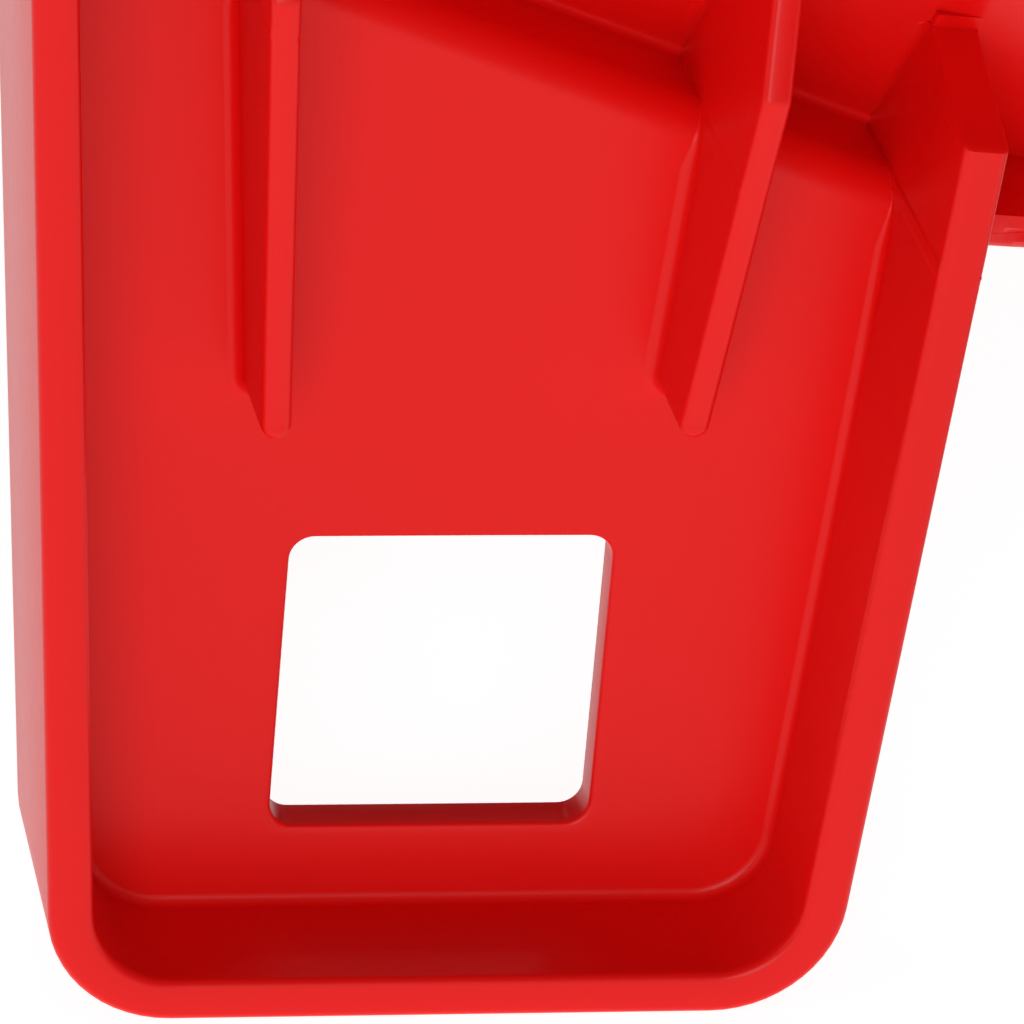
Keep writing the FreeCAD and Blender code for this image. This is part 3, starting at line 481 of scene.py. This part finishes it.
def sheet_rows(depth, inner, side, share):
    """Points of one face of the sheet, row by row up the slope, from the outer edge to the inner."""
    cos, sin = math.cos(LEAN), math.sin(LEAN)

    def turned(x, z):
        return ((x + LEG_AXIS) * cos - (z - BEND_HEIGHT) * sin,
                (x + LEG_AXIS) * sin + (z - BEND_HEIGHT) * cos)

    u, v = turned(*inner.T)
    left = (inner[:, 1] > 30) & ((u < 0) | (inner[:, 1] > CROTCH_Z + 12))
    right = (inner[:, 1] > 30) & ~left
    middle = np.array([CROTCH_Z + 3, HEAD_TOP - 2.2])
    middle_u, middle_v = turned(middle * 0, middle)
    rows = profile(depth, middle_v[1])
    right_v, right_u = np.concatenate([v[right], middle_v]), np.concatenate([u[right], middle_u])
    first, second = np.argsort(v[left]), np.argsort(right_v)
    left_u = np.interp(rows[:, 0], v[left][first], u[left][first])
    right_u = np.interp(rows[:, 0], right_v[second], right_u[second])
    uu = left_u[:, None] + (right_u - left_u)[:, None] * share
    vv = rows[:, :1] + uu * 0
    x = -LEG_AXIS + uu * cos + vv * sin
    z = BEND_HEIGHT - uu * sin + vv * cos
    half = FOOT_HALF - RIM_WALL / 2 + TAPER * PANEL_TOP
    low_x = -LEG_AXIS - half + 2 * half * share
    mix = np.linspace(0, 1, 6)[:-1, None]
    x = np.concatenate([low_x * (1 - mix) + x[:1] * mix, x])
    z = np.concatenate([PANEL_TOP * (1 - mix) + z[:1] * mix, z])
    y = np.concatenate([np.full(5, rows[0, 1]), rows[:, 1]])[:, None] + np.zeros_like(x)
    y[:, [0, -1]] += FACE_LAP if depth == 0 else -FACE_LAP
    return np.stack([side * x, y, z], -1)


def add_sheet(shell, side):
    """The sheet of one half: from above the window, over the step and up the slope, to the head."""
    points, normals = full_outline()
    inner = points + normals * (RIM_WALL * 0.5)
    inner = inner[inner[:, 0] <= 0.0]
    share = np.concatenate([[0.0, 0.035, 0.075], np.linspace(0.12, 0.88, 28), [0.925, 0.965, 1.0]])
    front = sheet_rows(0.0, inner, side, share)
    back = sheet_rows(PLATE_WALL, inner, side, share)
    shell.add(np.concatenate([front, back[:, ::-1]], 1), cap=True)


def loop_radius(points, angles):
    """Distance from the origin to a closed loop in each direction, as a column."""
    turn = np.arctan2(points[:, 1], points[:, 0])
    order = np.argsort(turn)
    return np.interp(angles, turn[order], np.hypot(*points.T)[order], period=2 * math.pi)[:, None]


def add_window_panel(shell, side):
    """The foot of a leg round its window: a ring between the window's edge and the leg's walls."""
    half = WINDOW_HALF
    window, _ = rounded_path([(-half, -half), (half, -half), (half, half), (-half, half)],
                             [WINDOW_CORNER] * 4, step=1.0, arc_step=9.0)
    centre = np.array([-LEG_AXIS, WINDOW_HEIGHT])
    inset = RIM_WALL * 0.5
    low, high = FOOT_HALF - inset, FOOT_HALF - inset + TAPER * PANEL_TOP
    edge, _ = rounded_path([(-low, inset), (low, inset), (high, PANEL_TOP), (-high, PANEL_TOP)],
                           [10.0, 10.0, 0.02, 0.02], step=1.0, arc_step=6.0)
    edge = edge - np.array([0.0, WINDOW_HEIGHT])
    both = np.concatenate([window, edge])
    angles = np.unique(np.round(np.arctan2(both[:, 1], both[:, 0]), 5))
    near = loop_radius(window, angles)
    far = loop_radius(edge, angles)
    soft = 0.5
    quarter = arc(0, 90, 5)[None]
    spread = np.linspace(0.06, 1.0, 9)[None]
    reach = [near + soft - soft * np.cos(quarter), near + soft + (far - near - soft) * spread]
    level = [soft - soft * np.sin(quarter) + near * 0, np.zeros_like(reach[1])]
    at_top = np.sin(angles) * far[:, 0] > PANEL_TOP - WINDOW_HEIGHT - FLUSH
    level[1][:, -1] = np.where(at_top, 0.0, FACE_LAP)
    back = [PLATE_WALL - part[:, ::-1] for part in level[::-1]]
    reach = np.concatenate(reach + [part[:, ::-1] for part in reach[::-1]], 1)
    level = np.concatenate(level + back, 1)
    x = side * (centre[0] + np.cos(angles)[:, None] * reach)
    z = centre[1] + np.sin(angles)[:, None] * reach
    shell.add(np.stack([x, level, z], -1), wrap_rows=True)


def rounded_square(half_wide, half_tall, corner):
    """Points of a rounded rectangle about the origin, the same number at each corner."""
    spots = []
    for index, (sx, sz) in enumerate(((1, 1), (-1, 1), (-1, -1), (1, -1))):
        turn = arc(90 * index, 90 * index + 90, 12)
        spots.append(np.stack([sx * (half_wide - corner) + corner * np.cos(turn),
                               sz * (half_tall - corner) + corner * np.sin(turn)], -1))
    return np.concatenate(spots)


def add_boss(shell, bore):
    """The square boss with a square bore: outer face, rounded front edge, bore, rounded rear edge.

    Each edge is a quarter circle: a ring per angle, drawn in or out and moved along Y.
    """
    quarter = arc(0, 90, EDGE_POINTS)
    rings = []

    def ring(loop, y):
        flat = loop + np.array(BOSS_MIDDLE)
        rings.append(np.stack([flat[:, 0], np.full(len(flat), y), flat[:, 1]], -1))

    def outside(turn, y):
        shrink = BOSS_EDGE - BOSS_EDGE * math.cos(turn)
        ring(rounded_square(BOSS_HALF[0] - shrink, BOSS_HALF[1] - shrink, BOSS_CORNER - shrink * 0.5), y)

    def inside(turn, y):
        half = bore + BORE_EDGE - BORE_EDGE * math.sin(turn)
        ring(rounded_square(half, half, BORE_CORNER), y)

    for turn in quarter:
        outside(turn, BOSS_FRONT + BOSS_EDGE - BOSS_EDGE * math.sin(turn))
    for turn in quarter:
        inside(turn, BOSS_FRONT + BORE_EDGE - BORE_EDGE * math.cos(turn))
    for turn in quarter[::-1]:
        inside(turn, BOSS_BACK - BORE_EDGE + BORE_EDGE * math.cos(turn))
    for turn in quarter[::-1]:
        outside(turn, BOSS_BACK - BOSS_EDGE + BOSS_EDGE * math.sin(turn))
    shell.add(np.stack(rings), wrap_rows=True)


def jaw(name, body, node, flip):
    """The whole visible casting of one jaw, in place of its plain solid."""
    low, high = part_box(node)
    face = (-high.y if flip else low.y) / MM - BOSS_FRONT
    shell = Shell()
    add_walls(shell)
    for side in (-1, 1):
        for leg in (-1, 1):
            add_rib(shell, leg * LEG_AXIS, side)
    for side in (1, -1):
        add_sheet(shell, side)
        add_window_panel(shell, side)
    add_boss(shell, REAR_BORE_HALF if flip else FRONT_BORE_HALF)
    for part in shell.points:
        part[:, 1] += face
    piece = shell.make(name, flip_y=flip)
    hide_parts(node)
    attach(piece, body)
    return piece


# ---- materials ---------------------------------------------------------------------------------

class Value:
    """A shader socket that takes part in Python arithmetic through Math nodes."""

    def __init__(self, paint, socket):
        self.paint = paint
        self.socket = socket

    def _math(self, operation, first, second):
        return self.paint.node("ShaderNodeMath", {"operation": operation}, {0: first, 1: second})

    def __add__(self, other):
        return self._math("ADD", self, other)

    def __sub__(self, other):
        return self._math("SUBTRACT", self, other)

    def __mul__(self, other):
        return self._math("MULTIPLY", self, other)

    def __rsub__(self, other):
        return self._math("SUBTRACT", other, self)

    __radd__ = __add__
    __rmul__ = __mul__

    def clamp(self):
        """The value held between 0 and 1."""
        return self.paint.node("ShaderNodeClamp", {}, {"Value": self})


class Paint:
    """One procedural material: a Principled shader and the nodes that feed it."""

    def __init__(self, name, **constants):
        self.material = bpy.data.materials.new(name)
        self.material.use_nodes = True
        self.tree = self.material.node_tree
        self.shader = self.tree.nodes["Principled BSDF"]
        for key, value in constants.items():
            self.shader.inputs[key.replace("_", " ")].default_value = value
        self.place = self.node("ShaderNodeTexCoord", {}, {}, "Object")

    def node(self, kind, settings, inputs, output=0):
        """Adds a node, sets it up, fills its sockets and returns the wanted output."""
        made = self.tree.nodes.new(kind)
        for key, value in settings.items():
            setattr(made, key, value)
        for key, value in inputs.items():
            if isinstance(value, Value):
                self.tree.links.new(value.socket, made.inputs[key])
            else:
                made.inputs[key].default_value = value
        return Value(self, made.outputs[output])

    def noise(self, scale, detail=2.0, rough=0.5):
        """Smooth noise over the piece."""
        return self.node("ShaderNodeTexNoise", {}, {"Vector": self.place, "Scale": scale,
                                                    "Detail": detail, "Roughness": rough})

    def streaks(self, stretch, scale, detail=3.0):
        """Noise drawn out along one axis, as brushed or drawn metal has."""
        along = self.node("ShaderNodeMapping", {}, {"Vector": self.place, "Scale": stretch})
        return self.node("ShaderNodeTexNoise", {}, {"Vector": along, "Scale": scale, "Detail": detail})

    def mix(self, share, first, second):
        """One colour turned into another by a share."""
        return self.node("ShaderNodeMix", {"data_type": "RGBA"}, {0: share, 6: first, 7: second}, 2)

    def feed(self, **sockets):
        """Links values to the shader's sockets."""
        for key, value in sockets.items():
            self.tree.links.new(value.socket, self.shader.inputs[key.replace("_", " ")])

    def bump(self, height, strength, distance):
        """Feeds the shader's normal from a height."""
        self.feed(Normal=self.node("ShaderNodeBump", {}, {"Height": height, "Strength": strength,
                                                          "Distance": distance}))

    def on(self, *pieces):
        """Gives the material to pieces."""
        for piece in pieces:
            piece.data.materials.clear()
            piece.data.materials.append(self.material)


def red_coat():
    """Glossy powder coat: faint orange peel, slow drift of tone, slightly uneven gloss."""
    paint = Paint("red_powder_coat", IOR=1.3)
    drift = paint.noise(18.0, 2.0)
    peel = paint.noise(650.0, 2.0, 0.5)
    paint.feed(Base_Color=paint.mix((drift - 0.5) * 0.5 + 0.5, (0.76, 0.0045, 0.004, 1),
                                    (0.81, 0.006, 0.0045, 1)))
    paint.feed(Roughness=0.34 + (peel - 0.5) * 0.06 + (drift - 0.5) * 0.05)
    paint.bump(peel, 0.04, 0.0002)
    return paint


def black_coat():
    """Satin black powder coat with a fine texture and rubbed patches."""
    paint = Paint("black_powder_coat", Coat_Weight=0.1)
    grain = paint.noise(1500.0, 3.0, 0.7)
    worn = paint.noise(60.0, 4.0, 0.7)
    paint.feed(Base_Color=paint.mix((worn - 0.55).clamp() * 3.0, (0.018, 0.018, 0.020, 1),
                                    (0.05, 0.05, 0.055, 1)))
    paint.feed(Roughness=0.42 + (grain - 0.5) * 0.25)
    paint.bump(grain, 0.25, 0.0003)
    return paint


def zinc(name, stretch, base, rough):
    """Zinc plated steel, drawn along one axis, with a cloudy passivated sheen."""
    paint = Paint(name, Metallic=1.0)
    lines = paint.streaks(stretch, 500.0)
    cloud = paint.noise(45.0, 5.0, 0.65)
    tint = tuple(min(1.0, channel * 0.8) for channel in base)
    paint.feed(Base_Color=paint.mix(cloud, base + (1,), tint + (1,)))
    paint.feed(Roughness=rough + (lines - 0.5) * 0.2 + (cloud - 0.5) * 0.15)
    paint.bump(lines, 0.15, 0.0002)
    return paint


def moulded(name, colour, rough, grain_scale, depth):
    """Moulded plastic or rubber with a fine pebbled grain."""
    paint = Paint(name)
    grain = paint.noise(grain_scale, 3.0, 0.6)
    cloud = paint.noise(50.0, 3.0)
    lighter = tuple(min(1.0, channel * 1.6 + 0.004) for channel in colour)
    paint.feed(Base_Color=paint.mix(cloud, colour + (1,), lighter + (1,)))
    paint.feed(Roughness=rough + (grain - 0.5) * 0.2)
    paint.bump(grain, 0.3, depth)
    return paint


def turned(name, colour, rough):
    """Turned metal with fine rings left by the lathe."""
    paint = Paint(name, Metallic=1.0)
    rings = paint.streaks((1.0, 1.0, 30.0), 300.0)
    darker = tuple(channel * 0.85 for channel in colour)
    paint.feed(Base_Color=paint.mix(paint.noise(80.0, 3.0), colour + (1,), darker + (1,)))
    paint.feed(Roughness=rough + (rings - 0.5) * 0.1)
    paint.bump(rings, 0.05, 0.0001)
    return paint


# ---- the object --------------------------------------------------------------------------------

front = jaw("front_jaw_casting", "front_jaw", "front_casting", False)
rear = jaw("rear_jaw_casting", "rear_jaw", "rear_casting", True)
red_coat().on(front, rear)
black_coat().on(nodes["lock_housing"])
zinc("zinc_bar", (8.0, 0.3, 8.0), (0.62, 0.62, 0.60), 0.38).on(
    nodes["crossbar"], nodes["left_wheel_bar"], nodes["right_wheel_bar"])
zinc("zinc_fastener", (3.0, 3.0, 3.0), (0.70, 0.70, 0.66), 0.28).on(
    *[nodes[name] for name in ("crossbar_stop_pin", "crossbar_bolts", "crossbar_nuts", "bar_flange_bolts",
                               "bar_flange_nuts", "housing_screws", "travel_pin", "cover_hinge_pin",
                               "plunger_spring", "locking_bolt")])
moulded("black_rubber", (0.016, 0.016, 0.016), 0.7, 1200.0, 0.0004).on(
    *[nodes[name] for name in ("front_left_pad", "front_right_pad", "rear_left_pad", "rear_right_pad",
                               "barrel_seal")])
moulded("sleeve_vinyl", (0.03, 0.03, 0.032), 0.35, 700.0, 0.0001).on(
    nodes["left_bar_sleeve"], nodes["right_bar_sleeve"])
moulded("black_nylon", (0.022, 0.022, 0.024), 0.5, 1600.0, 0.0002).on(
    *[nodes[name] for name in ("crossbar_front_cap", "crossbar_rear_cap", "bar_bush_front", "bar_bush_rear",
                               "dust_cover")])
turned("nickel_chrome", (0.82, 0.82, 0.80), 0.12).on(nodes["lock_barrel"])
turned("lock_brass", (0.78, 0.57, 0.24), 0.22).on(nodes["lock_plug"])


# ---- floor, light and camera -------------------------------------------------------------------

def stage_floor():
    """Plain pale floor at the feet."""
    size = 6.0
    mesh = bpy.data.meshes.new("floor")
    corners = [(-size, -size, 0), (size, -size, 0), (size, size, 0), (-size, size, 0)]
    mesh.from_pydata(corners, [], [(0, 1, 2, 3)])
    floor = bpy.data.objects.new("floor", mesh)
    bpy.context.collection.objects.link(floor)
    paint = Paint("floor_white", Roughness=0.9, Emission_Strength=1.0)
    paint.feed(Base_Color=paint.mix(paint.noise(2.0), (0.60, 0.60, 0.60, 1), (0.62, 0.62, 0.62, 1)))
    paint.feed(Emission_Color=paint.mix(paint.noise(2.0), (0.88, 0.88, 0.88, 1), (0.89, 0.89, 0.89, 1)))
    paint.on(floor)


def aim(thing, spot, target, roll=0.0):
    """Places a thing at a spot, looking at a target, rolled about its line of sight."""
    look = (Vector(target) - Vector(spot)).to_track_quat("-Z", "Y").to_matrix().to_4x4()
    thing.matrix_world = Matrix.Translation(Vector(spot)) @ look @ Matrix.Rotation(roll, 4, "Z")


def area(name, spot, target, size, power):
    """A square soft light."""
    light = bpy.data.lights.new(name, "AREA")
    light.shape = "SQUARE"
    light.size = size
    light.energy = power
    lamp = bpy.data.objects.new(name, light)
    bpy.context.collection.objects.link(lamp)
    aim(lamp, spot, target)


stage_floor()
world = bpy.data.worlds.new("studio")
world.use_nodes = True
world.node_tree.nodes["Background"].inputs["Color"].default_value = (1, 1, 1, 1)
world.node_tree.nodes["Background"].inputs["Strength"].default_value = 0.12
bpy.context.scene.world = world
bpy.context.scene.view_settings.view_transform = "Standard"

middle = Vector((-0.04, -0.15, 0.08))
area("front_box", (-0.45, -1.85, 0.36), middle, 1.0, 14)
area("left_box", (-1.75, -0.75, 0.4), middle, 1.0, 2.5)
area("overhead", (0.3, 0.5, 1.9), middle, 1.2, 1.0)
area("back_box", (0.3, 1.8, 1.0), middle, 1.2, 6)

casting_low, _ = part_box("front_casting")
FACE_Y = casting_low.y - BOSS_FRONT * MM
VIEW_AZIMUTH = math.radians(-11.8)
VIEW_ELEVATION = math.radians(27.0)
VIEW_ROLL = math.radians(5.18)
VIEW_DISTANCE = 0.833
VIEW_TARGET = Vector((-LEG_AXIS * MM + 0.0052, FACE_Y, 0.0452))
offset = Vector((math.sin(VIEW_AZIMUTH) * math.cos(VIEW_ELEVATION),
                 -math.cos(VIEW_AZIMUTH) * math.cos(VIEW_ELEVATION), math.sin(VIEW_ELEVATION)))
lens = bpy.data.cameras.new("camera")
lens.sensor_width = 36.0
lens.lens = 321.0
lens.clip_start = 0.05
camera = bpy.data.objects.new("camera", lens)
bpy.context.collection.objects.link(camera)
aim(camera, VIEW_TARGET + offset * VIEW_DISTANCE, VIEW_TARGET, VIEW_ROLL)
bpy.context.scene.camera = camera
